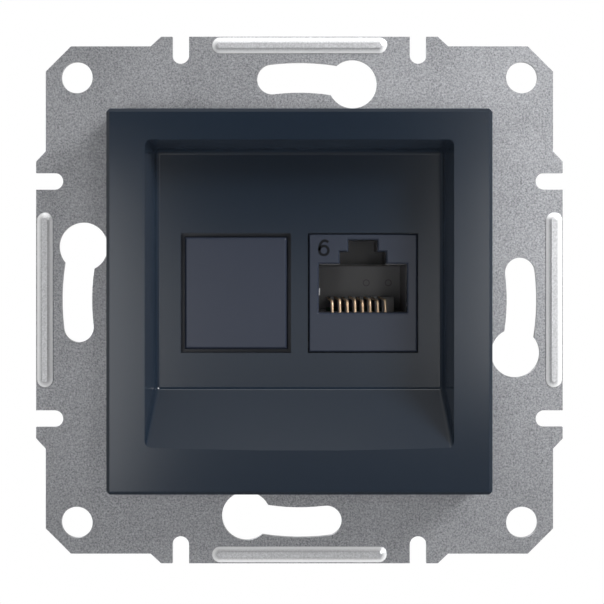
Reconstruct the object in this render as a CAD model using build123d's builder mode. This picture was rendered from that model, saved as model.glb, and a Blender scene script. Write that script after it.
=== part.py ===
from build123d import *
import os

os.makedirs("parts", exist_ok=True)

# Flush wall-mount data socket: a steel support frame, a moulded cover with a recessed pocket,
# one blanked window and one eight-contact jack. Millimetres. The socket faces -Y, with +Z up,
# and the origin is the middle of the support frame's back face. "Height" is measured out of
# the wall towards the viewer, and "depth" runs back into the wall.

# Support frame: pressed from zinc-plated sheet
sheet = 1.0
frame_size = 68.4
frame_corner_cut = 3.4
tab_reach = 1.3
tab_width = 37.3
tab_shoulder = 1.4
tab_flank_angle = 42.9
edge_notch_offset = 16.0
edge_notch_width = 2.25
edge_notch_depth = 3.65
corner_hole_pitch = 60.0
corner_hole = 4.25
key_radius = 30.0
key_slot_width = 4.1
key_tail_angle = 7.0
key_head_angle = 13.8
key_head = 6.6
bead_length = 23.7
bead_width = 2.3
bead_rise = 0.5
bead_wall = 0.5
bead_margin = 0.05
bead_slope = 58.0
lug_width = 7.0
lug_reach = 6.0
lug_offset = 12.0
lug_bend = 0.5
lug_window_width = 4.2
lug_window_length = 2.0
lug_window_depth = 2.4

# Cover: anthracite moulding, hollow behind
cover_size = 50.0
cover_rise = 10.0
cover_wall = 1.6
cover_edge = 0.45
pocket_depth = 6.0
rim_side = 5.0
rim_top = 4.05
rim_bottom = 6.15
pocket_bow = 0.4
pocket_draft = 1.0
slope_run = 7.2
pocket_round = 0.7
window_width = 14.65
window_height = 15.9
window_bar = 2.22
window_level = 1.0
clip_offset = 12.0
clip_room = 1.0
clip_width = 5.0
clip_thickness = 1.2
clip_barb = 0.6
clip_barb_length = 1.0

# Module carrier: moulded holder in the frame's opening
carrier_plate = 1.4
carrier_overlap = 0.6
carrier_wall = 1.5
carrier_depth = 6.0
carrier_round = 1.5
bay_side_clearance = 0.25
bay_head_clearance = 0.2
bay_wall = 1.5
bay_depth = 7.0
bay_foot_room = 1.0
bay_rib = 1.2
bay_rib_height = 0.75
module_flange = 0.8
module_flange_lap = 0.85
hook_reach = 0.9
flex_slit = 0.7
flex_slit_depth = 5.0

# Blank insert
blank_gap = 0.5
blank_sink = 0.35
blank_wall = 1.3
blank_edge = 0.25
blank_arm_width = 6.0
blank_arm_thickness = 1.1
blank_barb_slope = 1.4

# Jack: front, plug cavity and latch
jack_side_gap = 0.125
jack_head_gap = 0.1
bezel_sink = 0.1
port_width = 11.7
port_height = 6.45
port_floor_level = 5.26
latch_width = 6.18
latch_height = 1.63
key_width = 3.88
key_height = 1.54
port_edge = 0.2
cavity_depth = 11.85
cavity_side_clearance = 0.1
cavity_ceiling_drop = 0.1
cavity_draft = 1.2
cavity_floor_drop = 0.15
latch_depth = 9.0
jack_lug_width = 10.0
jack_lug_length = 2.0
jack_barb_length = 1.2
jack_latch_width = 6.0
jack_latch_thickness = 1.1
jack_latch_gap = 1.2
jack_latch_barb = 0.9
jack_end_wall = 1.0

# Contact wires and their sled
pin_count = 8
pin_pitch = 1.02
wire = 0.35
wire_sides = 5
wire_front = 1.3
wire_low = 2.75
wire_low_bend = 1.6
wire_high_bend = 1.75
wire_low_tip = 1.85
wire_high_tip = 1.95
wire_shift = 0.3
wire_lean = 0.15
wire_sweep = 0.45
wire_tip_depth = 7.6
wire_round = 0.6
groove = 0.58
sled_margin = 1.3
sled_clearance = 0.1
sled_base = 1.2
sled_wall = 0.5
sled_lower = 0.1
comb_length = 2.4
comb_rise = 2.1
comb_front = 5.9
sled_ear_width = 2.4
sled_ear_height = 0.95
sled_ear_level = 2.2
sled_ear_depth = 1.6
sled_ear_stand = 0.3
sled_ear_thickness = 0.8
sled_ear_foot = 1.0

# Circuit board and insulation-displacement terminals
board = 1.2
board_side_margin = 0.3
board_head_margin = 0.35
board_hole_clearance = 0.1
idc_count = 8
idc_pitch = 3.1
idc_width = 2.0
idc_thickness = 0.4
idc_slot = 0.35
idc_slot_depth = 2.6
idc_mouth = 0.9
idc_height = 4.6
idc_base = 1.0
idc_first = 3.4
idc_stagger = 4.0
idc_tail = 0.6
idc_pocket_clearance = 0.15

# Termination block, behind the board
block_side_wall = 0.35
block_height = 12.6
block_depth = 13.4
channel_width = 1.3
channel_depth = 2.2
ear_thickness = 1.1
ear_round = 1.9
block_front_wall = 2.4
guide_stand = 4.0
guide_thickness = 2.0
guide_width = 10.4
guide_height = 9.0
guide_arm = 1.6
guide_mouth = 5.2
cable = 6.0
cable_clearance = 0.2

# Wire caps, hinged on the block
cap_thickness = 2.0
cap_gap = 0.15
cap_lip_width = 1.4
cap_lip_depth = 1.6
cap_lip_thickness = 0.4
cap_lip_gap = 0.1
cap_length = 12.0
cap_pin = 1.6
cap_running_clearance = 0.05
cap_side_clearance = 0.15
cap_rib_width = 0.9
cap_rib_depth = 1.2
cap_rib_start = 2.2
cap_blade_clearance = 0.5
cap_grip = 0.6
cap_grip_length = 1.0

# Seats and general clearances
seat = 0.05
fit = 0.15
loose = 0.3


def front(height):
    """The plane that faces the viewer at this height out of the wall."""
    return Plane.XZ.offset(height)


# Heights and levels that several pieces share
frame_edge = frame_size / 2 + tab_reach
frame_opening = cover_size - 2 * (cover_wall + loose + carrier_overlap)
pocket_width = cover_size - 2 * rim_side
pocket_top = cover_size / 2 - rim_top
pocket_bottom = rim_bottom - cover_size / 2
cover_height = sheet + cover_rise
floor_height = cover_height - pocket_depth
floor_back = floor_height - cover_wall
carrier_front = sheet + carrier_plate
window_pitch = window_width + window_bar
window_x = window_pitch / 2
pins_x = window_x - wire_shift
bezel_front = floor_height - bezel_sink
bezel_back = carrier_front + seat
jack_width = window_width - 2 * jack_side_gap
jack_height = window_height - 2 * jack_head_gap
bay_width = jack_width + 2 * bay_side_clearance
bay_height = jack_height + 2 * bay_head_clearance
jack_foot = window_level - jack_height / 2
jack_head = window_level + jack_height / 2
bay_bottom = window_level - bay_height / 2 - bay_foot_room
bay_top = jack_head + jack_latch_gap + jack_latch_thickness + jack_latch_barb + fit
port_floor = jack_foot + port_floor_level
port_ceiling = port_floor + port_height
cavity_floor = port_floor - cavity_floor_drop
cavity_ceiling = port_ceiling - cavity_ceiling_drop
cavity_back = cavity_depth - bezel_back
jack_back = cavity_back + jack_end_wall
board_front = jack_back
board_width = jack_width - 2 * board_side_margin
board_height = jack_height - 2 * board_head_margin
board_back = board_front + board
block_front = board_back + seat
block_back = block_front + block_depth
idc_columns = idc_count // 2
block_width = (idc_columns - 1) * idc_pitch + idc_width + 2 * block_side_wall
block_top = block_height / 2
wire_level = cavity_floor - wire_low
wire_y = wire_front - bezel_back
well_front = wire_y - groove / 2 - sled_wall - sled_clearance
well_floor = wire_level - sled_base
well_top = cavity_floor + sled_wall
hinge_y = block_front + ear_round
hinge_rise = block_top + cap_gap + cap_thickness / 2
lug_inner = frame_opening / 2 - sheet
skirt_x = lug_inner - loose
skirt_z = frame_opening / 2 - loose
clip_level = skirt_z - carrier_wall - clip_barb - clip_thickness / 2 - clip_room


# Support frame
bead_level = frame_edge - bead_margin - bead_width / 2
key_path = CenterArc((0, 0), key_radius, 90 - key_head_angle, key_head_angle + key_tail_angle)
with BuildPart() as support_frame:
    with BuildSketch(front(0)) as frame_outline:
        Rectangle(frame_size, frame_size)
        chamfer(frame_outline.vertices(), frame_corner_cut)
        with PolarLocations(0, 4):
            with Locations((0, frame_size / 2 + tab_reach / 2)):
                Trapezoid(tab_width + 2 * tab_shoulder, tab_reach, tab_flank_angle)
            with Locations((edge_notch_offset, frame_edge), (-edge_notch_offset, frame_edge)):
                SlotOverall(2 * edge_notch_depth, edge_notch_width, rotation=90, mode=Mode.SUBTRACT)
            SlotArc(key_path, key_slot_width, mode=Mode.SUBTRACT)
        with PolarLocations(key_radius, 4, start_angle=90 - key_head_angle):
            Circle(key_head / 2, mode=Mode.SUBTRACT)
        with GridLocations(corner_hole_pitch, corner_hole_pitch, 2, 2):
            Circle(corner_hole / 2, mode=Mode.SUBTRACT)
        Rectangle(frame_opening, frame_opening, mode=Mode.SUBTRACT)
    extrude(amount=sheet)

    # Stiffening beads, pressed out of the sheet along the four edges
    with BuildSketch(front(sheet)):
        with PolarLocations(0, 4):
            with Locations((0, bead_level)):
                SlotOverall(bead_length, bead_width)
    extrude(amount=bead_rise, taper=bead_slope)
    with BuildSketch(front(0)):
        with PolarLocations(0, 4):
            with Locations((0, bead_level)):
                SlotOverall(bead_length - 2 * bead_wall, bead_width - 2 * bead_wall)
    extrude(amount=bead_rise, mode=Mode.SUBTRACT)

    # Lugs folded back from the sides of the opening, with a window for the carrier's hooks
    for side in (1, -1):
        for level in (lug_offset, -lug_offset):
            with BuildSketch(Plane.XY.offset(level - lug_width / 2)) as lug_section:
                with Locations((side * (lug_inner + sheet), -sheet / 2)):
                    Rectangle(2 * sheet, sheet)
                with Locations((side * (lug_inner + sheet / 2), (lug_reach - sheet) / 2)):
                    Rectangle(sheet, lug_reach + sheet)
                inner_corner = lug_section.vertices().sort_by_distance((side * frame_opening / 2, 0))
                fillet(inner_corner[0], lug_bend)
                outer_corner = lug_section.vertices().sort_by_distance((side * lug_inner, -sheet))
                fillet(outer_corner[0], lug_bend + sheet / 2)
            extrude(amount=lug_width)
            window_y = lug_window_depth + lug_window_length / 2
            with Locations((side * (lug_inner + sheet / 2), window_y, level)):
                Box(2 * sheet, lug_window_length, lug_window_width, mode=Mode.SUBTRACT)
support_frame.part.label = "support_frame"
export_step(support_frame.part, "parts/support_frame.step")


# Cover plate: the pocket is drafted on three sides and runs down to a long slope below
def pocket_section(height, wall, sink):
    """The pocket's outline, wider by the wall, at a height and a share of its depth."""
    half = pocket_width / 2 - sink * pocket_draft + wall
    top = pocket_top - sink * pocket_draft + wall
    bottom = pocket_bottom + sink * slope_run - wall
    bow = pocket_bow * (1 - sink)
    with BuildSketch(front(height)) as section:
        with BuildLine():
            Polyline((-half, bottom), (-half, top), (half, top), (half, bottom))
            if bow > 0:
                ThreePointArc((half, bottom), (0, bottom - bow), (-half, bottom))
            else:
                Line((half, bottom), (-half, bottom))
        make_face()
    return section.sketch


with BuildPart() as pocket_form:
    loft([pocket_section(floor_height, 0, 1), pocket_section(cover_height, 0, 0)])
    fillet(pocket_form.edges().group_by(Axis.Y)[1:], pocket_round)


with BuildPart() as tray_form:
    loft([pocket_section(floor_back, cover_wall, 1), pocket_section(cover_height, cover_wall, 0)])

with BuildPart() as cover_plate:
    with BuildSketch(front(sheet)):
        Rectangle(cover_size, cover_size)
    extrude(amount=cover_rise)
    chamfer(cover_plate.faces().sort_by(Axis.Y)[0].edges(), cover_edge)
    chamfer(cover_plate.edges().filter_by(Axis.Y), cover_edge)
    with BuildSketch(front(sheet)):
        Rectangle(cover_size - 2 * cover_wall, cover_size - 2 * cover_wall)
    extrude(amount=cover_rise - cover_wall, mode=Mode.SUBTRACT)
    add(tray_form.part)
    add(pocket_form.part, mode=Mode.SUBTRACT)
    with BuildSketch(front(floor_back)):
        with Locations((-window_x, window_level), (window_x, window_level)):
            Rectangle(window_width, window_height)
    extrude(amount=pocket_depth + cover_wall, mode=Mode.SUBTRACT)

    # Four clip arms behind the pocket, with barbs that catch behind the carrier's plate
    for level in (1, -1):
        barb_top = sheet - seat
        arm_top = floor_height - cover_wall / 2
        if level < 0:
            past_floor = clip_level - clip_thickness / 2 + pocket_bottom + slope_run
            arm_top += past_floor * pocket_depth / slope_run
        for along in (-clip_offset, clip_offset):
            with BuildSketch(Plane.YZ.offset(along - clip_width / 2)):
                with Locations((-(arm_top + barb_top - clip_barb_length) / 2, level * clip_level)):
                    Rectangle(arm_top - barb_top + clip_barb_length, clip_thickness)
                tip = level * (clip_level + clip_thickness / 2)
                barb = [
                    (-barb_top, tip),
                    (-barb_top, tip + level * clip_barb),
                    (clip_barb_length - barb_top, tip),
                ]
                Polygon(*barb)
            extrude(amount=clip_width)
cover_plate.part.label = "cover_plate"
export_step(cover_plate.part, "parts/cover_plate.step")


# Module carrier: plate over the frame's opening, skirt through it, and a bay behind each window
carrier_size = frame_opening + 2 * carrier_overlap
with BuildPart() as module_carrier:
    with BuildSketch(front(sheet)):
        RectangleRounded(carrier_size, carrier_size, carrier_round)
    extrude(amount=carrier_plate)
    with BuildSketch(front(sheet)):
        Rectangle(2 * skirt_x, 2 * skirt_z)
        Rectangle(2 * (skirt_x - carrier_wall), 2 * (skirt_z - carrier_wall), mode=Mode.SUBTRACT)
    extrude(amount=-(sheet + carrier_depth))
    with BuildSketch(front(sheet)):
        with Locations((0, (bay_top + bay_bottom) / 2)):
            Rectangle(window_pitch + bay_width + 2 * bay_wall, bay_top - bay_bottom + 2 * bay_wall)
    extrude(amount=-(sheet + bay_depth))
    with BuildSketch(front(sheet)):
        with Locations((-window_x, (bay_top + bay_bottom) / 2), (window_x, (bay_top + bay_bottom) / 2)):
            Rectangle(bay_width, bay_top - bay_bottom)
    extrude(amount=-(sheet + bay_depth), mode=Mode.SUBTRACT)
    with BuildSketch(front(sheet)):
        with Locations((-window_x, window_level), (window_x, window_level)):
            Rectangle(bay_width, bay_height)
        for level in (-clip_level, clip_level):
            with Locations((-clip_offset, level), (clip_offset, level)):
                Rectangle(clip_width + 2 * loose, clip_thickness + 2 * clip_barb)
    extrude(amount=carrier_plate, mode=Mode.SUBTRACT)

    # Ribs across the bay floor and roof, which hold a jack's lug and latch against the plate
    rib_back = jack_lug_length + 2 * seat
    rib_y = rib_back - sheet + bay_rib / 2
    for bay_x in (-window_x, window_x):
        for rib_z in (bay_bottom + bay_rib_height / 2, bay_top - bay_rib_height / 2):
            with Locations((bay_x, rib_y, rib_z)):
                Box(bay_width + bay_wall, bay_rib, bay_rib_height)

    # Snap hooks that sit in the windows of the frame's lugs, each between two slits
    for side in (1, -1):
        for level in (lug_offset, -lug_offset):
            with BuildSketch(Plane.XY.offset(level - lug_window_width / 2 + fit)):
                hook = [
                    (side * (skirt_x - seat), lug_window_depth + fit),
                    (side * (skirt_x + hook_reach), lug_window_depth + fit),
                    (side * (skirt_x - seat), lug_window_depth + lug_window_length - fit),
                ]
                Polygon(*hook)
            extrude(amount=lug_window_width - 2 * fit)
            for edge in (-lug_window_width / 2 - flex_slit, lug_window_width / 2 + flex_slit):
                slit_y = carrier_depth - flex_slit_depth / 2
                with Locations((side * (skirt_x - carrier_wall / 2), slit_y, level + edge)):
                    Box(2 * carrier_wall, flex_slit_depth, flex_slit, mode=Mode.SUBTRACT)
module_carrier.part.label = "module_carrier"
export_step(module_carrier.part, "parts/module_carrier.step")


# Blank insert: a hollow cap in the left window, held by a flange and two barbed arms
blank_front = floor_height - blank_sink
blank_back = carrier_front + seat + module_flange
blank_barb_top = sheet - seat
with BuildPart() as blank_insert:
    with BuildSketch(front(blank_back)):
        with Locations((-window_x, window_level)):
            Rectangle(window_width - 2 * blank_gap, window_height - 2 * blank_gap)
    extrude(amount=blank_front - blank_back)
    chamfer(blank_insert.faces().sort_by(Axis.Y)[0].edges(), blank_edge)
    with BuildSketch(front(blank_back)):
        with Locations((-window_x, window_level)):
            Rectangle(window_width + 2 * module_flange_lap, window_height + 2 * module_flange_lap)
    extrude(amount=-module_flange)
    with BuildSketch(front(blank_back - module_flange)):
        with Locations((-window_x, window_level)):
            Rectangle(window_width - 4 * blank_wall, window_height - 4 * blank_wall)
    extrude(amount=blank_front - blank_back + module_flange - blank_wall, mode=Mode.SUBTRACT)
    for side in (1, -1):
        arm_z = window_level + side * (bay_height / 2 - fit - blank_arm_thickness / 2)
        arm_tip = blank_barb_top - blank_barb_slope
        with BuildSketch(Plane.YZ.offset(-window_x - blank_arm_width / 2)):
            with Locations((-(blank_back - module_flange + arm_tip) / 2, arm_z)):
                Rectangle(blank_back - module_flange - arm_tip, blank_arm_thickness)
            tip = arm_z + side * blank_arm_thickness / 2
            Polygon((-blank_barb_top, tip), (-blank_barb_top, tip + side * bay_foot_room), (-arm_tip, tip))
        extrude(amount=blank_arm_width)
blank_insert.part.label = "blank_insert"
export_step(blank_insert.part, "parts/blank_insert.step")


# Port bezel: moulded front of the right window, with the stepped plug opening and a flange behind
latch_level = port_ceiling + latch_height
with BuildPart() as port_bezel:
    with BuildSketch(front(bezel_back)):
        with Locations((window_x, window_level)):
            Rectangle(jack_width, jack_height)
        with Locations((window_x, port_floor + port_height / 2)):
            Rectangle(port_width, port_height, mode=Mode.SUBTRACT)
        with Locations((window_x, port_ceiling + latch_height / 2)):
            Rectangle(latch_width, latch_height, mode=Mode.SUBTRACT)
        with Locations((window_x, latch_level + key_height / 2)):
            Rectangle(key_width, key_height, mode=Mode.SUBTRACT)
    extrude(amount=bezel_front - bezel_back)
    chamfer(port_bezel.faces().sort_by(Axis.Y)[0].edges(), port_edge)
    with BuildSketch(front(bezel_back)):
        with Locations((window_x, window_level)):
            Rectangle(window_width + 2 * module_flange_lap, window_height + 2 * module_flange_lap)
            Rectangle(jack_width, jack_height, mode=Mode.SUBTRACT)
    extrude(amount=module_flange)
port_bezel.part.label = "port_bezel"
export_step(port_bezel.part, "parts/port_bezel.step")


# Jack housing: plug cavity with its latch channel, and a well below for the sled
sled_width = pin_count * pin_pitch + sled_margin
cavity_width = port_width + 2 * cavity_side_clearance
ear_x = window_x - cavity_width / 2 - sled_ear_thickness / 2 + sled_ear_stand
ear_top = port_floor + sled_ear_level + sled_ear_height
ear_foot = cavity_floor - sled_ear_foot
with BuildPart() as jack_housing:
    with BuildSketch(front(bezel_back)):
        with Locations((window_x, window_level)):
            Rectangle(jack_width, jack_height)
    extrude(amount=-(jack_back + bezel_back))
    with BuildSketch(front(bezel_back)):
        with Locations((window_x, (cavity_floor + cavity_ceiling) / 2)):
            Rectangle(cavity_width, cavity_ceiling - cavity_floor)
    extrude(amount=-cavity_depth, taper=cavity_draft, mode=Mode.SUBTRACT)
    with BuildSketch(front(bezel_back)):
        with Locations((window_x, (cavity_ceiling + latch_level) / 2)):
            Rectangle(latch_width, latch_level - cavity_ceiling)
        with Locations((window_x, latch_level + key_height / 2)):
            Rectangle(key_width, key_height)
    extrude(amount=-latch_depth, mode=Mode.SUBTRACT)
    with BuildSketch(front(-well_front)):
        with Locations((window_x, (well_top + well_floor) / 2)):
            Rectangle(sled_width, well_top - well_floor)
    extrude(amount=-(jack_back - well_front), mode=Mode.SUBTRACT)
    with Locations((ear_x, sled_ear_depth, (ear_top + ear_foot) / 2)):
        Box(
            sled_ear_thickness + 2 * sled_clearance,
            sled_ear_width + 2 * sled_clearance,
            ear_top - ear_foot + 2 * sled_clearance,
            mode=Mode.SUBTRACT,
        )
    foot_z = (cavity_floor + ear_foot - sled_clearance) / 2
    with Locations(((ear_x + window_x) / 2, sled_ear_depth, foot_z)):
        Box(
            window_x - ear_x,
            sled_ear_width + 2 * sled_clearance,
            cavity_floor - ear_foot + sled_clearance,
            mode=Mode.SUBTRACT,
        )

    # Fixed lug below and sprung latch above, which seat behind the carrier's plate
    lug_y = jack_lug_length / 2 + seat - sheet
    jack_lug_height = jack_foot - bay_bottom - fit
    with Locations((window_x, lug_y, jack_foot - jack_lug_height / 2)):
        Box(jack_lug_width, jack_lug_length, jack_lug_height)
    latch_base = jack_head + jack_latch_gap
    with BuildSketch(Plane.YZ.offset(window_x - jack_latch_width / 2)):
        latch_front = seat - sheet
        arm = [
            (latch_front, latch_base),
            (latch_front, latch_base + jack_latch_thickness + jack_latch_barb),
            (latch_front + jack_barb_length, latch_base + jack_latch_thickness + jack_latch_barb),
            (latch_front + jack_lug_length, latch_base + jack_latch_thickness),
            (bay_depth + jack_latch_gap, latch_base + jack_latch_thickness),
            (bay_depth + jack_latch_gap + jack_latch_thickness, latch_base),
            (bay_depth + jack_latch_gap + jack_latch_thickness, jack_head),
            (bay_depth + jack_latch_gap, jack_head),
            (bay_depth, latch_base),
        ]
        Polygon(*arm)
    extrude(amount=jack_latch_width)
jack_housing.part.label = "jack_housing"
export_step(jack_housing.part, "parts/jack_housing.step")


# Contact wires: out of the board, forward under the cavity, up through the floor and back
for pin in range(pin_count):
    pin_x = pins_x + (pin - (pin_count - 1) / 2) * pin_pitch
    bends_high = pin % 2 == 1
    bend_level = cavity_floor + (wire_high_bend if bends_high else wire_low_bend)
    tip_level = cavity_floor + (wire_high_tip if bends_high else wire_low_tip)
    with BuildPart() as contact_wire:
        with BuildLine() as route:
            FilletPolyline(
                (pin_x, board_back - seat, wire_level),
                (pin_x, wire_y, wire_level),
                (pin_x - wire_lean, wire_y, bend_level),
                (pin_x - wire_lean - wire_sweep, wire_tip_depth, tip_level),
                radius=wire_round,
            )
        with BuildSketch(Plane(route.line @ 0, z_dir=route.line % 0)):
            RegularPolygon(wire / 2, wire_sides)
        sweep()
    contact_wire.part.label = f"contact_wire_{pin + 1}"
    export_step(contact_wire.part, f"parts/contact_wire_{pin + 1}.step")


# Contact sled: light moulded tray under the cavity, with a groove for each wire and a rear comb
sled_half = sled_width / 2 - sled_clearance
sled_bottom = well_floor + sled_clearance
sled_top = cavity_floor - sled_lower
with BuildPart() as contact_sled:
    with BuildSketch(Plane.YZ.offset(window_x - sled_half)):
        with BuildLine():
            Polyline(
                (well_front + sled_clearance, sled_bottom),
                (jack_back - seat, sled_bottom),
                (jack_back - seat, sled_top),
                (comb_front + comb_length, sled_top),
                (comb_front + comb_length, sled_top + comb_rise),
                (comb_front, sled_top + comb_rise),
                (comb_front - comb_rise / 2, sled_top),
                (well_front + sled_clearance, sled_top),
                close=True,
            )
        make_face()
    extrude(amount=2 * sled_half)
    groove_front = wire_y - groove / 2
    tunnel_length = board_front - groove_front
    slot_end = comb_front - comb_rise
    slot_rise = sled_top - wire_level + seat
    with Locations((pins_x, groove_front + tunnel_length / 2, wire_level)):
        with GridLocations(pin_pitch, 1, pin_count, 1):
            Box(groove, tunnel_length, groove, mode=Mode.SUBTRACT)
    with Locations((pins_x, (groove_front + slot_end) / 2, wire_level + slot_rise / 2)):
        with GridLocations(pin_pitch, 1, pin_count, 1):
            Box(groove, slot_end - groove_front, slot_rise, mode=Mode.SUBTRACT)
    slot_x = pins_x - wire_lean - wire_sweep + seat
    with Locations((slot_x, comb_front + comb_length / 2, sled_top + comb_rise / 2 + seat)):
        with GridLocations(pin_pitch, 1, pin_count, 1):
            Box(groove, comb_length + comb_rise, comb_rise, mode=Mode.SUBTRACT)

    # Ear at the left that snaps into the cavity's wall
    arm_thickness = sled_ear_thickness - sled_ear_stand
    with Locations((ear_x - sled_ear_stand / 2, sled_ear_depth, (ear_top + ear_foot) / 2)):
        Box(arm_thickness, sled_ear_width, ear_top - ear_foot)
    with Locations((ear_x, sled_ear_depth, ear_top - sled_ear_height / 2)):
        Box(sled_ear_thickness, sled_ear_width, sled_ear_height)
    foot_end = window_x - sled_half
    foot_start = ear_x - sled_ear_thickness / 2
    with Locations(((foot_start + foot_end) / 2, sled_ear_depth, (sled_top + ear_foot) / 2)):
        Box(foot_end - foot_start, sled_ear_width, sled_top - ear_foot)
contact_sled.part.label = "contact_sled"
export_step(contact_sled.part, "parts/contact_sled.step")


# Circuit board: upright behind the jack, drilled for the wires and the terminals' tails
tail_level = idc_base + idc_tail / 2
with BuildPart() as circuit_board:
    with BuildSketch(front(-board_front)):
        with Locations((window_x, window_level)):
            Rectangle(board_width, board_height)
        with Locations((pins_x, wire_level)):
            with GridLocations(pin_pitch, 1, pin_count, 1):
                Rectangle(wire + 2 * board_hole_clearance, wire + 2 * board_hole_clearance, mode=Mode.SUBTRACT)
        with Locations((window_x, window_level)):
            with GridLocations(idc_pitch, 2 * tail_level, idc_count // 2, 2):
                tail_hole = idc_tail + 2 * board_hole_clearance
                Rectangle(tail_hole, tail_hole, mode=Mode.SUBTRACT)
    extrude(amount=-board)
circuit_board.part.label = "circuit_board"
export_step(circuit_board.part, "parts/circuit_board.step")


# Termination block: pockets for the blades, a channel over each, hinge ears and a cable guide
with BuildPart() as termination_block:
    with BuildSketch(front(-block_front)):
        with Locations((window_x, window_level)):
            Rectangle(block_width, block_height)
    extrude(amount=-block_depth)
    for row in (1, -1):
        channel_length = block_depth - block_front_wall
        for column in range(idc_columns):
            x = window_x + (column - (idc_columns - 1) / 2) * idc_pitch
            blade_y = block_front + idc_first + (column % 2) * idc_stagger
            channel_z = window_level + row * (block_top - channel_depth / 2)
            with Locations((x, block_back - channel_length / 2, channel_z)):
                Box(channel_width, channel_length, channel_depth, mode=Mode.SUBTRACT)
            pocket = block_top - idc_base + idc_pocket_clearance
            with Locations((x, blade_y, window_level + row * (block_top - pocket / 2))):
                Box(
                    idc_width + 2 * idc_pocket_clearance,
                    idc_thickness + 2 * idc_pocket_clearance,
                    pocket,
                    mode=Mode.SUBTRACT,
                )
            with Locations((x, (block_front + blade_y) / 2, window_level + row * tail_level)):
                Box(
                    idc_tail + 2 * idc_pocket_clearance,
                    blade_y - block_front,
                    idc_tail + 2 * idc_pocket_clearance,
                    mode=Mode.SUBTRACT,
                )
        for side in (1, -1):
            hinge_z = window_level + row * hinge_rise
            with BuildSketch(Plane.YZ.offset(window_x + side * (block_width + ear_thickness) / 2)):
                with Locations((hinge_y, window_level + row * hinge_rise / 2)):
                    Rectangle(2 * ear_round, hinge_rise)
                with Locations((hinge_y, hinge_z)):
                    Circle(ear_round)
                    Circle(cap_pin / 2 + cap_running_clearance, mode=Mode.SUBTRACT)
            extrude(amount=ear_thickness / 2, both=True)

    # Cable guide on two arms behind the block, open at the top
    for side in (1, -1):
        arm_x = window_x + side * (guide_width - guide_arm) / 2
        with Locations((arm_x, block_back + guide_stand / 2, window_level)):
            Box(guide_arm, guide_stand, guide_height - 2 * guide_arm)
    with BuildSketch(front(-(block_back + guide_stand))):
        with Locations((window_x, window_level)):
            RectangleRounded(guide_width, guide_height, guide_arm)
            Circle(cable / 2 + cable_clearance, mode=Mode.SUBTRACT)
        with Locations((window_x, window_level + guide_height / 2)):
            Rectangle(guide_mouth, guide_height, mode=Mode.SUBTRACT)
    extrude(amount=-guide_thickness)
termination_block.part.label = "termination_block"
export_step(termination_block.part, "parts/termination_block.step")


# Insulation-displacement terminals: forked blades, each with a tail into the board
for terminal in range(idc_count):
    row = 1 if terminal < idc_columns else -1
    column = terminal % idc_columns
    x = window_x + (column - (idc_columns - 1) / 2) * idc_pitch
    blade_y = block_front + idc_first + (column % 2) * idc_stagger
    blade_base = window_level + row * idc_base
    blade_tip = blade_base + row * idc_height
    with BuildPart() as idc_terminal:
        with BuildSketch(front(-blade_y)):
            with Locations((x, (blade_base + blade_tip) / 2)):
                Rectangle(idc_width, idc_height)
            with Locations((x, blade_tip - row * idc_slot_depth / 2)):
                Rectangle(idc_slot, idc_slot_depth, mode=Mode.SUBTRACT)
            with Locations((x, blade_tip)):
                Rectangle(idc_mouth, idc_mouth, rotation=45, mode=Mode.SUBTRACT)
        extrude(amount=idc_thickness / 2, both=True)
        tail_length = blade_y - board_front - seat
        with Locations((x, blade_y - tail_length / 2, window_level + row * tail_level)):
            Box(idc_tail, tail_length, idc_tail)
    idc_terminal.part.label = f"idc_terminal_{terminal + 1}"
    export_step(idc_terminal.part, f"parts/idc_terminal_{terminal + 1}.step")


# Wire caps: each turns on two trunnions and presses the cable's wires into its row of blades
for row, name in ((1, "upper_wire_cap"), (-1, "lower_wire_cap")):
    hinge_z = window_level + row * hinge_rise
    cap_width = block_width - 2 * cap_side_clearance
    cap_inner = hinge_z - row * cap_thickness / 2
    with BuildPart() as wire_cap:
        with BuildSketch(Plane.YZ.offset(window_x)):
            with Locations((hinge_y, hinge_z)):
                Circle(cap_thickness / 2)
            with Locations((hinge_y + cap_length / 2, hinge_z)):
                Rectangle(cap_length, cap_thickness)
            with Locations((hinge_y + cap_length - cap_grip_length / 2, hinge_z + row * cap_grip / 2)):
                Rectangle(cap_grip_length, cap_thickness + cap_grip)
        extrude(amount=cap_width / 2, both=True)
        with Locations(Location((window_x, hinge_y, hinge_z), (0, 90, 0))):
            Cylinder(cap_pin / 2, block_width + 2 * ear_thickness - 2 * seat)
        for column in range(idc_columns):
            x = window_x + (column - (idc_columns - 1) / 2) * idc_pitch
            blade_y = block_front + idc_first + (column % 2) * idc_stagger
            rib_end = block_back - loose
            rib_start = hinge_y + cap_rib_start
            with Locations((x, (rib_start + rib_end) / 2, cap_inner - row * cap_rib_depth / 2)):
                Box(cap_rib_width, rib_end - rib_start, cap_rib_depth)
            with Locations((x, blade_y, cap_inner - row * cap_rib_depth / 2)):
                Box(
                    channel_width,
                    idc_thickness + 2 * cap_blade_clearance,
                    cap_rib_depth,
                    mode=Mode.SUBTRACT,
                )
        lip_y = block_back + cap_lip_gap + cap_lip_thickness / 2
        with Locations((window_x, lip_y, cap_inner - row * cap_lip_depth / 2)):
            Box(cap_lip_width, cap_lip_thickness, cap_lip_depth)
    wire_cap.part.label = name
    export_step(wire_cap.part, f"parts/{name}.step")
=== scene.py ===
from math import cos, pi, radians, sin

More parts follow.
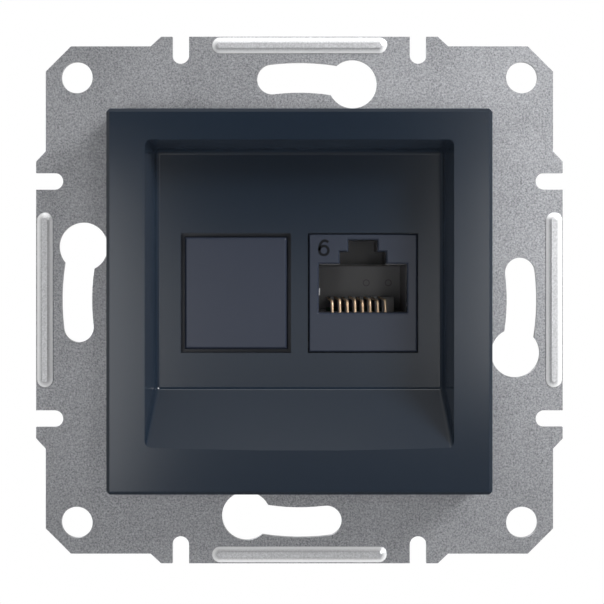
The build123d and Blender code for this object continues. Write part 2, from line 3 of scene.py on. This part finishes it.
import bmesh
import bpy
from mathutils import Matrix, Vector


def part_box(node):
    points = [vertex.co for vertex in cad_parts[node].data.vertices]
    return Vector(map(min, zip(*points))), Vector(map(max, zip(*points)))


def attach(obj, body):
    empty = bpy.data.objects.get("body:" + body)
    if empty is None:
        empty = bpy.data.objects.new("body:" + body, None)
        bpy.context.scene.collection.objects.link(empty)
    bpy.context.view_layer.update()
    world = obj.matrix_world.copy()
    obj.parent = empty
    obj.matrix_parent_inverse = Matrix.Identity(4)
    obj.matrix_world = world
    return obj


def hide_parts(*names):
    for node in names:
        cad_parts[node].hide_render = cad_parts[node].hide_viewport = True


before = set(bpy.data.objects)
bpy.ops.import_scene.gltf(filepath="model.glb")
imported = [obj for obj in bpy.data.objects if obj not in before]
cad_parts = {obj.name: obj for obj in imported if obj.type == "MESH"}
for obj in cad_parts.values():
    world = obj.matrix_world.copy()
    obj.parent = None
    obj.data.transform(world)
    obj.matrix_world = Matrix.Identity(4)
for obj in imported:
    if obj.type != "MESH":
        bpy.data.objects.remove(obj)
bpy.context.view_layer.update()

# Viewpoint
# The 60 mm between the corner holes covers 445 of the photograph's 604 pixels, and the cover's
# 50 mm front shows 387 wide, so the lens stands 240 mm out. The cover stands a little low on the
# sheet, so the lens is that much above its middle, square to the wall.
MM = 0.001
PHOTO_WIDTH = 604
SHEET_FRONT = -1.0 * MM
LENS_DISTANCE = 240 * MM
HOLE_PITCH = 60 * MM
HOLE_PITCH_PIXELS = 445
SENSOR = 36.0
LENS_UP = 5 * MM
SHEET_MIDDLE_PIXEL = (299.4, 300.0)

view_width = HOLE_PITCH * PHOTO_WIDTH / HOLE_PITCH_PIXELS
camera_data = bpy.data.cameras.new("photo_camera")
camera_data.sensor_width = SENSOR
camera_data.lens = SENSOR * LENS_DISTANCE / view_width
camera = bpy.data.objects.new("photo_camera", camera_data)
camera.location = (0, SHEET_FRONT - LENS_DISTANCE, LENS_UP)
camera_data.shift_x = 0.5 - SHEET_MIDDLE_PIXEL[0] / PHOTO_WIDTH
camera_data.shift_y = -LENS_UP / view_width + (SHEET_MIDDLE_PIXEL[1] / PHOTO_WIDTH - 0.5)
camera.rotation_euler = (radians(90), 0, 0)
bpy.context.scene.collection.objects.link(camera)
bpy.context.scene.camera = camera
bpy.context.scene.view_settings.view_transform = "Standard"


def linear(hex_colour):
    """A colour written as sRGB hex, as the linear numbers that a shader takes."""
    channels = [int(hex_colour[i : i + 2], 16) / 255 for i in (1, 3, 5)]
    return [c / 12.92 if c <= 0.04045 else ((c + 0.055) / 1.055) ** 2.4 for c in channels] + [1.0]


def add_node(tree, kind, settings=None, **inputs):
    """Adds a shader node. Settings are its properties; inputs are values, or sockets to link from.

    An input goes by its name, with _ for a space, or by its number, as i0 for the first.
    """
    node = tree.nodes.new(kind)
    for key, value in (settings or {}).items():
        setattr(node, key, value)
    for key, value in inputs.items():
        socket = node.inputs[int(key[1:])] if key[1:].isdigit() else node.inputs[key.replace("_", " ")]
        if isinstance(value, bpy.types.NodeSocket):
            tree.links.new(value, socket)
        else:
            socket.default_value = value
    return node


# Studio floor
# A wide table painted matt white, 90 mm below the socket's middle. Far from the socket the camera
# sees it as white as the backdrop, and near it keeps the shadow. Metal and glossy plastic see it
# dim in front of the socket and as white as the backdrop behind it.
FLOOR_LEVEL = -90 * MM
FLOOR_SIZE = 8.0
SHADOW_REACH = 0.14
WHITE_REACH = 0.26
BACKDROP_REACH = 0.3
TABLE_DIM = 0.22
TABLE_ROUGHNESS = 0.9
bm = bmesh.new()
bmesh.ops.create_grid(bm, x_segments=1, y_segments=1, size=FLOOR_SIZE / 2)
bmesh.ops.translate(bm, verts=bm.verts, vec=(0, 0, FLOOR_LEVEL))
floor_mesh = bpy.data.meshes.new("studio_floor")
bm.to_mesh(floor_mesh)
bm.free()
floor = bpy.data.objects.new("studio_floor", floor_mesh)
bpy.context.scene.collection.objects.link(floor)
floor_paint = bpy.data.materials.new("matt white table paint")
floor_paint.use_nodes = True
paint = floor_paint.node_tree
paint_shader = paint.nodes["Principled BSDF"]
paint_shader.inputs["Base Color"].default_value = linear("#dcdcdc")
paint_shader.inputs["Roughness"].default_value = TABLE_ROUGHNESS
place = add_node(paint, "ShaderNodeTexCoord").outputs["Object"]
away = add_node(paint, "ShaderNodeVectorMath", {"operation": "LENGTH"}, i0=place)
fade = add_node(paint, "ShaderNodeMapRange", {"interpolation_type": "SMOOTHSTEP"},
                Value=away.outputs["Value"], From_Min=SHADOW_REACH, From_Max=WHITE_REACH)
ray = add_node(paint, "ShaderNodeLightPath")
depth = add_node(paint, "ShaderNodeSeparateXYZ", Vector=place).outputs["Y"]
behind = add_node(paint, "ShaderNodeMapRange", Value=depth, From_Max=BACKDROP_REACH,
                  To_Min=TABLE_DIM)
white = add_node(paint, "ShaderNodeMath", {"operation": "MAXIMUM"}, i0=behind.outputs["Result"],
                 i1=ray.outputs["Is Camera Ray"])
clean = add_node(paint, "ShaderNodeMath", {"operation": "MULTIPLY"}, i0=fade.outputs["Result"],
                 i1=ray.outputs["Is Camera Ray"])
share = add_node(paint, "ShaderNodeMath", {"operation": "MAXIMUM"}, i0=clean.outputs[0],
                 i1=ray.outputs["Is Glossy Ray"])
glow = add_node(paint, "ShaderNodeEmission", Color=linear("#ffffff"), Strength=white.outputs[0])
both = add_node(paint, "ShaderNodeMixShader", i0=share.outputs[0],
                i1=paint_shader.outputs["BSDF"], i2=glow.outputs[0])
paint.links.new(both.outputs[0], paint.nodes["Material Output"].inputs["Surface"])
floor_mesh.materials.append(floor_paint)


# Studio backdrop and lamps
# A white backdrop stands behind the socket, and the room is pale at the sides and dim behind the
# lens, so the dark moulding keeps its depth. The key lamp is high on the right, in front, and
# small spots beside the lens lay the sheen on the rims of the pocket and the windows.
ROOM_DIM = 0.04
ROOM_PALE = 0.6
DIM_DIRECTION = -0.75
PALE_DIRECTION = -0.38
world = bpy.data.worlds.new("studio")
bpy.context.scene.world = world
world.use_nodes = True
sky = world.node_tree
sky.nodes.clear()
towards = add_node(sky, "ShaderNodeTexCoord").outputs["Generated"]
parts = add_node(sky, "ShaderNodeSeparateXYZ", Vector=towards)
room = add_node(sky, "ShaderNodeMapRange", {"interpolation_type": "SMOOTHSTEP"},
                Value=parts.outputs["Y"], From_Min=DIM_DIRECTION, From_Max=PALE_DIRECTION,
                To_Min=ROOM_DIM, To_Max=ROOM_PALE)
ray = add_node(sky, "ShaderNodeLightPath")
clear = add_node(sky, "ShaderNodeMath", {"operation": "MAXIMUM"}, i0=ray.outputs["Is Camera Ray"],
                 i1=ray.outputs["Is Transmission Ray"])
seen = add_node(sky, "ShaderNodeBackground", Color=linear("#ffffff"), Strength=1.0)
lit = add_node(sky, "ShaderNodeBackground", Color=linear("#ffffff"), Strength=room.outputs["Result"])
either = add_node(sky, "ShaderNodeMixShader", i0=clear.outputs[0], i1=lit.outputs[0], i2=seen.outputs[0])
add_node(sky, "ShaderNodeOutputWorld", Surface=either.outputs[0])


def softbox(name, place, width, height, power):
    """A rectangular studio lamp, turned towards the socket. Sizes are in metres, power in watts."""
    lamp = bpy.data.lights.new(name, "AREA")
    lamp.shape = "RECTANGLE"
    lamp.size, lamp.size_y = width, height
    lamp.energy = power
    stand = bpy.data.objects.new(name, lamp)
    stand.location = place
    stand.rotation_euler = (-Vector(place)).to_track_quat("-Z", "Y").to_euler()
    bpy.context.scene.collection.objects.link(stand)


softbox("key_softbox", place=(0.55, -0.45, 0.42), width=0.26, height=0.26, power=8.2)
softbox("overhead_strip", place=(-0.05, -0.36, 0.62), width=0.60, height=0.16, power=0.9)
softbox("upper_lamp", place=(0.10, -0.34, 0.08), width=0.06, height=0.06, power=0.05)
softbox("left_spot", place=(-0.062, -0.26, -0.016), width=0.03, height=0.09, power=0.038)
softbox("right_spot", place=(0.067, -0.26, 0.002), width=0.03, height=0.06, power=0.032)
softbox("front_panel", place=(0.0, -0.27, -0.014), width=0.10, height=0.045, power=0.012)
softbox("back_softbox", place=(-0.3, 0.7, 0.5), width=0.5, height=0.5, power=2.2)


# Support frame
# Pressed from 1 mm zinc-plated steel sheet, with lugs that the carrier hooks into. The plating
# leaves a fine grey speckle without a grain direction. The beads carry a painted highlight: paler
# and less metallic on their flanks, fainter on their crests.
WELD_GAP = 0.001 * MM
FLAT_ANGLE = radians(0.5)
ROUND_ANGLE = radians(80)
EDGE_SEGMENTS = 2


def smooth_copy(node, body, edge=0.1, turn=35):
    """A copy of a CAD node that stands for it, with its flat faces joined.

    Its edges are rounded by edge millimetres where they turn by more than turn degrees.
    """
    bm = bmesh.new()
    bm.from_mesh(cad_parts[node].data)
    bmesh.ops.remove_doubles(bm, verts=bm.verts, dist=WELD_GAP)
    bmesh.ops.dissolve_limit(bm, angle_limit=FLAT_ANGLE, verts=bm.verts, edges=bm.edges)
    mesh = bpy.data.meshes.new(node + "_shape")
    bm.to_mesh(mesh)
    bm.free()
    for polygon in mesh.polygons:
        polygon.use_smooth = True
    piece = bpy.data.objects.new(node + "_piece", mesh)
    bpy.context.scene.collection.objects.link(piece)
    if edge:
        bevel = piece.modifiers.new("edge_radius", "BEVEL")
        bevel.width = edge * MM
        bevel.segments = EDGE_SEGMENTS
        bevel.limit_method = "ANGLE"
        bevel.angle_limit = radians(turn)
        bevel.use_clamp_overlap = True
        flats = piece.modifiers.new("flat_faces", "WEIGHTED_NORMAL")
        flats.mode = "FACE_AREA"
        flats.weight = 100
        flats.thresh = 0.01
    else:
        mesh.set_sharp_from_angle(angle=ROUND_ANGLE)
    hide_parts(node)
    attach(piece, body)
    return piece


def grain_bump(tree, spot, grain_mm, depth_mm):
    """Fine relief of a real grain size, for a shader's normal."""
    noise = add_node(tree, "ShaderNodeTexNoise", Vector=spot, Scale=1 / (grain_mm * MM), Detail=2.0)
    return add_node(tree, "ShaderNodeBump", Height=noise.outputs["Fac"], Distance=depth_mm * MM)


# The real crystals are about 0.05 mm, too fine to show, so the speckle is drawn at 0.24 mm.
SPECKLE = 0.24 * MM
PLATING_CLOUD = 11 * MM
CLOUD_SHARE = 0.12
PLATING_GREYS = ((0.30, "#5d5f63"), (0.70, "#d2d3d7"))
PLATING_ROUGHNESS = (0.36, 0.52)
PLATING_METALLIC = 0.85
# Painted highlight: the beads are painted pale and less metallic, most on their flanks, as a
# stand-in for the light that they reflect.
BEAD_RISE = 0.5 * MM
BEAD_FOOT = (0.03 * MM, 0.08 * MM)
BEAD_FLANK = 0.20 * MM
CREST_PAINTED_HIGHLIGHT = 0.32
FLANK_PAINTED_HIGHLIGHT = 0.9
PAINTED_HIGHLIGHT_COLOUR = "#fafafb"
PAINTED_HIGHLIGHT_METALLIC = 0.1
PAINTED_HIGHLIGHT_ROUGHNESS = 0.3


def plated_sheet():
    """Zinc-plated steel: grey, speckled, with a painted highlight that makes the beads paler."""
    material = bpy.data.materials.new("zinc-plated steel sheet")
    material.use_nodes = True
    tree = material.node_tree
    shader = tree.nodes["Principled BSDF"]
    spot = add_node(tree, "ShaderNodeTexCoord").outputs["Object"]
    speckle = add_node(tree, "ShaderNodeTexNoise", Vector=spot, Scale=1 / SPECKLE, Detail=4.0,
                       Roughness=0.8)
    cloud = add_node(tree, "ShaderNodeTexNoise", Vector=spot, Scale=1 / PLATING_CLOUD, Detail=3.0)
    blend = add_node(tree, "ShaderNodeMix", {"data_type": "FLOAT"}, i0=CLOUD_SHARE,
                     i2=speckle.outputs["Fac"], i3=cloud.outputs["Fac"])
    ramp = add_node(tree, "ShaderNodeValToRGB", Fac=blend.outputs[0])
    for stop, (position, grey) in zip(ramp.color_ramp.elements, PLATING_GREYS):
        stop.position = position
        stop.color = linear(grey)
    proud = add_node(tree, "ShaderNodeSeparateXYZ", Vector=spot).outputs["Y"]
    # The painted highlight's mask: none on the flat sheet, most on the beads' flanks, less on their
    # crests.
    foot = add_node(tree, "ShaderNodeMapRange", Value=proud, From_Min=SHEET_FRONT - BEAD_FOOT[0],
                    From_Max=SHEET_FRONT - BEAD_FOOT[1])
    crest = add_node(tree, "ShaderNodeMapRange", Value=proud, From_Min=SHEET_FRONT - BEAD_RISE,
                     From_Max=SHEET_FRONT - BEAD_FLANK, To_Min=CREST_PAINTED_HIGHLIGHT, To_Max=FLANK_PAINTED_HIGHLIGHT)
    painted_highlight_mask = add_node(tree, "ShaderNodeMath", {"operation": "MULTIPLY"}, i0=foot.outputs["Result"],
                      i1=crest.outputs["Result"])
    # The painted highlight: pale colour, less metal and a smoother finish where the mask is.
    bright = add_node(tree, "ShaderNodeMix", {"data_type": "RGBA"}, i0=painted_highlight_mask.outputs[0],
                      i6=ramp.outputs["Color"], i7=linear(PAINTED_HIGHLIGHT_COLOUR))
    tree.links.new(bright.outputs[2], shader.inputs["Base Color"])
    metal = add_node(tree, "ShaderNodeMix", {"data_type": "FLOAT"}, i0=painted_highlight_mask.outputs[0],
                     i2=PLATING_METALLIC, i3=PAINTED_HIGHLIGHT_METALLIC)
    tree.links.new(metal.outputs[0], shader.inputs["Metallic"])
    rough = add_node(tree, "ShaderNodeMapRange", Value=cloud.outputs["Fac"],
                     To_Min=PLATING_ROUGHNESS[0], To_Max=PLATING_ROUGHNESS[1])
    highlight_roughness = add_node(tree, "ShaderNodeMix", {"data_type": "FLOAT"}, i0=painted_highlight_mask.outputs[0],
                      i2=rough.outputs["Result"], i3=PAINTED_HIGHLIGHT_ROUGHNESS)
    tree.links.new(highlight_roughness.outputs[0], shader.inputs["Roughness"])
    relief = grain_bump(tree, spot, grain_mm=0.3, depth_mm=0.010)
    tree.links.new(relief.outputs["Normal"], shader.inputs["Normal"])
    return material


sheet_piece = smooth_copy("support_frame", "socket", edge=0.06, turn=25)
sheet_piece.data.materials.append(plated_sheet())


# Cover plate
# Injection moulded in anthracite ABS with a satin, finely eroded skin: blue-grey, dark where it
# faces away from the lamps, with a soft sheen at a low angle. Four clips hold it to the carrier.
SKIN_CLOUD = 14 * MM
SKIN_TINT = (0.94, 1.06)
SHEEN_ROUGHNESS = 0.4
SHEEN_COLOUR = "#b4c4dc"


def satin_moulding(name, colour, roughness, gloss=0.5, grain=0.12, relief=0.003, sheen=0.0):
    """A moulded plastic with a slight unevenness of tint. Its skin's grain and relief are in mm."""
    material = bpy.data.materials.new(name)
    material.use_nodes = True
    tree = material.node_tree
    shader = tree.nodes["Principled BSDF"]
    spot = add_node(tree, "ShaderNodeTexCoord").outputs["Object"]
    cloud = add_node(tree, "ShaderNodeTexNoise", Vector=spot, Scale=1 / SKIN_CLOUD, Detail=2.0)
    tint = add_node(tree, "ShaderNodeMapRange", Value=cloud.outputs["Fac"], To_Min=SKIN_TINT[0],
                    To_Max=SKIN_TINT[1])
    shade = add_node(tree, "ShaderNodeMix", {"data_type": "RGBA", "blend_type": "MULTIPLY"}, i0=1.0,
                     i6=linear(colour), i7=tint.outputs["Result"])
    tree.links.new(shade.outputs[2], shader.inputs["Base Color"])
    shader.inputs["Roughness"].default_value = roughness
    shader.inputs["Specular IOR Level"].default_value = gloss
    shader.inputs["Sheen Weight"].default_value = sheen
    shader.inputs["Sheen Roughness"].default_value = SHEEN_ROUGHNESS
    shader.inputs["Sheen Tint"].default_value = linear(SHEEN_COLOUR)
    skin = grain_bump(tree, spot, grain_mm=grain, depth_mm=relief)
    tree.links.new(skin.outputs["Normal"], shader.inputs["Normal"])
    return material


cover_piece = smooth_copy("cover_plate", "socket", edge=0.12)
anthracite = satin_moulding("satin anthracite ABS", "#151e29", 0.17, gloss=0.4, sheen=0.08)
cover_piece.data.materials.append(anthracite)


# Blank insert
# The same ABS from another tool, slightly warmer and lighter. Its flange is trapped behind the
# cover's floor, and two barbed arms hold it in the carrier's left bay.
blank_piece = smooth_copy("blank_insert", "socket", edge=0.1)
warm_anthracite = satin_moulding("satin anthracite ABS, blank", "#282d39", 0.23, gloss=0.3)
blank_piece.data.materials.append(warm_anthracite)


# Port bezel
# The moulded front of the jack, in the same ABS, with a small numeral printed above the left
# corner of the plug opening.
bezel_piece = smooth_copy("port_bezel", "socket", edge=0.06)
bezel_anthracite = satin_moulding("satin anthracite ABS, bezel", "#282d38", 0.20, gloss=0.3)
bezel_piece.data.materials.append(bezel_anthracite)

NUMERAL_MIDDLE = (3.25 * MM, 7.0 * MM)
NUMERAL_STROKE = 0.34 * MM
BOWL_ACROSS = 0.60 * MM
BOWL_UP = 0.60 * MM
BOWL_DROP = 0.355 * MM
STEM_REACH = 0.72 * MM
STEM_BASE = -0.10 * MM
STEM_TOP = 0.95 * MM
STEM_TURN = 52
PRINT_LIFT = 0.01 * MM
CURVE_STEPS = 28


def numeral_line():
    """The middle line of the printed six: down the stem from its upper end, then round the bowl."""
    points = []
    for step in range(CURVE_STEPS + 1):
        turn = radians(STEM_TURN + (180 - STEM_TURN) * step / CURVE_STEPS)
        across = STEM_REACH * (1 + cos(turn)) - BOWL_ACROSS
        points.append((across, STEM_BASE + (STEM_TOP - STEM_BASE) * sin(turn)))
    for step in range(2 * CURVE_STEPS + 1):
        turn = pi + 2 * pi * step / (2 * CURVE_STEPS)
        points.append((BOWL_ACROSS * cos(turn), BOWL_UP * sin(turn) - BOWL_DROP))
    return points


def printed_numeral(front):
    """The numeral as a flat strip of ink that lies just proud of the bezel's face."""
    line = numeral_line()
    bm = bmesh.new()
    rows = []
    for index, (x, z) in enumerate(line):
        before = line[max(index - 1, 0)]
        after = line[min(index + 1, len(line) - 1)]
        along = Vector((after[0] - before[0], after[1] - before[1])).normalized()
        across = Vector((-along.y, along.x)) * NUMERAL_STROKE / 2
        middle = Vector((x + NUMERAL_MIDDLE[0], z + NUMERAL_MIDDLE[1]))
        edges = (middle + across, middle - across)
        rows.append([bm.verts.new((edge.x, front - PRINT_LIFT, edge.y)) for edge in edges])
    for first, second in zip(rows, rows[1:]):
        bm.faces.new((first[0], first[1], second[1], second[0]))
    bmesh.ops.recalc_face_normals(bm, faces=bm.faces)
    solid = bmesh.ops.extrude_face_region(bm, geom=bm.faces[:])
    moved = [item for item in solid["geom"] if isinstance(item, bmesh.types.BMVert)]
    bmesh.ops.translate(bm, verts=moved, vec=(0, PRINT_LIFT, 0))
    bmesh.ops.recalc_face_normals(bm, faces=bm.faces)
    mesh = bpy.data.meshes.new("port_numeral_shape")
    bm.to_mesh(mesh)
    bm.free()
    return mesh


bezel_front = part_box("port_bezel")[0][1]
numeral = bpy.data.objects.new("port_numeral_print", printed_numeral(bezel_front))
bpy.context.scene.collection.objects.link(numeral)
ink = bpy.data.materials.new("dark printing ink")
ink.use_nodes = True
ink_shader = ink.node_tree.nodes["Principled BSDF"]
ink_shader.inputs["Base Color"].default_value = linear("#0a0d12")
ink_shader.inputs["Roughness"].default_value = 0.7
ink_shader.inputs["Specular IOR Level"].default_value = 0.15
numeral.data.materials.append(ink)
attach(numeral, "socket")


# Jack housing
# Black glass-filled nylon with the plug's cavity. Its colour is painted light: mid grey instead of
# black, as pale as the cavity shows in the light. The tool leaves it satin, and its ejector pins
# leave round marks on the cavity's back wall. It snaps into the carrier's right bay.
EJECTOR_MARKS = ((9.4 * MM, 2.2 * MM), (12.5 * MM, 2.2 * MM))
EJECTOR_RADIUS = 0.42 * MM
CAVITY_BACK = 9.4 * MM
EJECTOR_LINE = 0.06 * MM
EJECTOR_SHADE = "#a0a0a0"
housing_piece = smooth_copy("jack_housing", "socket", edge=0.05)
# The mid grey base colour is painted light, standing in for the light inside the black cavity.
nylon = satin_moulding("black glass-filled nylon", "#666668", 0.4, grain=0.3, relief=0.004)
tree = nylon.node_tree
spot = add_node(tree, "ShaderNodeTexCoord").outputs["Object"]
shade = tree.nodes["Principled BSDF"].inputs["Base Color"].links[0].from_socket
for across, up in EJECTOR_MARKS:
    reach = add_node(tree, "ShaderNodeVectorMath", {"operation": "DISTANCE"}, i0=spot,
                     i1=(across, CAVITY_BACK, up))
    band = add_node(tree, "ShaderNodeMath", {"operation": "COMPARE"}, i0=reach.outputs["Value"],
                    i1=EJECTOR_RADIUS, i2=EJECTOR_LINE)
    ring = add_node(tree, "ShaderNodeMix", {"data_type": "RGBA", "blend_type": "MULTIPLY"},
                    i0=band.outputs[0], i6=shade, i7=linear(EJECTOR_SHADE))
    shade = ring.outputs[2]
tree.links.new(shade, tree.nodes["Principled BSDF"].inputs["Base Color"])
housing_piece.data.materials.append(nylon)


# Module carrier
# The same nylon in its own dark tone. Its plate lies on the steel frame, its skirt passes through
# the opening, and four hooks in the skirt snap into the windows of the frame's lugs.
carrier_piece = smooth_copy("module_carrier", "socket", edge=0.06)
carrier_nylon = satin_moulding("black glass-filled nylon, carrier", "#19191b", 0.45, grain=0.3,
                               relief=0.004)
carrier_piece.data.materials.append(carrier_nylon)


# Contact sled
# Light grey polycarbonate, moulded with a groove for each wire and a comb at the back. Its ear
# fits into the cavity's left wall, where it shows as a small light tab.
light_plastic = satin_moulding("light grey polycarbonate", "#a8a6a8", 0.35, grain=0.3, relief=0.003)
sled_piece = smooth_copy("contact_sled", "socket", edge=0.04)
sled_piece.data.materials.append(light_plastic)


# Contact wires
# Eight sprung wires of phosphor bronze, drawn to 0.35 mm and gold plated. They lie in the sled's
# grooves, bend forward over its comb and are soldered to the board behind it.
def plated_metal(name, colour, roughness, metallic=1.0):
    """A smooth plated metal."""
    material = bpy.data.materials.new(name)
    material.use_nodes = True
    tree = material.node_tree
    shader = tree.nodes["Principled BSDF"]
    shader.inputs["Base Color"].default_value = linear(colour)
    shader.inputs["Metallic"].default_value = metallic
    shader.inputs["Roughness"].default_value = roughness
    return material


CONTACTS = 8
gold = plated_metal("gold-plated phosphor bronze", "#ffe0bc", 0.38, metallic=0.75)
for contact in range(CONTACTS):
    wire_piece = smooth_copy(f"contact_wire_{contact + 1}", "socket", edge=0)
    wire_piece.data.materials.append(gold)


# Circuit board
# Glass-fibre board with green solder mask, upright between the jack and the termination block.
# It joins the sprung wires to the terminals.
board_piece = smooth_copy("circuit_board", "socket", edge=0.03)
solder_mask = satin_moulding("green solder mask", "#1d5a34", 0.3, grain=0.5, relief=0.002)
board_piece.data.materials.append(solder_mask)


# Insulation-displacement terminals
# Forked blades punched from tin-plated bronze, which stand on the board inside the block. Each
# cuts into one wire of the cable.
tin = plated_metal("tin-plated bronze", "#c9c8c4", 0.35)
for contact in range(CONTACTS):
    blade_piece = smooth_copy(f"idc_terminal_{contact + 1}", "socket", edge=0.02)
    blade_piece.data.materials.append(tin)


# Termination block
# Moulded in the same light grey polycarbonate as the sled, with a pocket for each blade and
# channels for the wires. Its ears carry the caps' hinges.
block_piece = smooth_copy("termination_block", "socket", edge=0.05)
block_piece.data.materials.append(light_plastic)


# Wire caps
# Two moulded caps of the same polycarbonate, which turn on trunnions in the block's ears and
# press the cable's wires into the blades.
for cap, body in (("upper_wire_cap", "upper_cap"), ("lower_wire_cap", "lower_cap")):
    cap_piece = smooth_copy(cap, body, edge=0.06)
    cap_piece.data.materials.append(light_plastic)
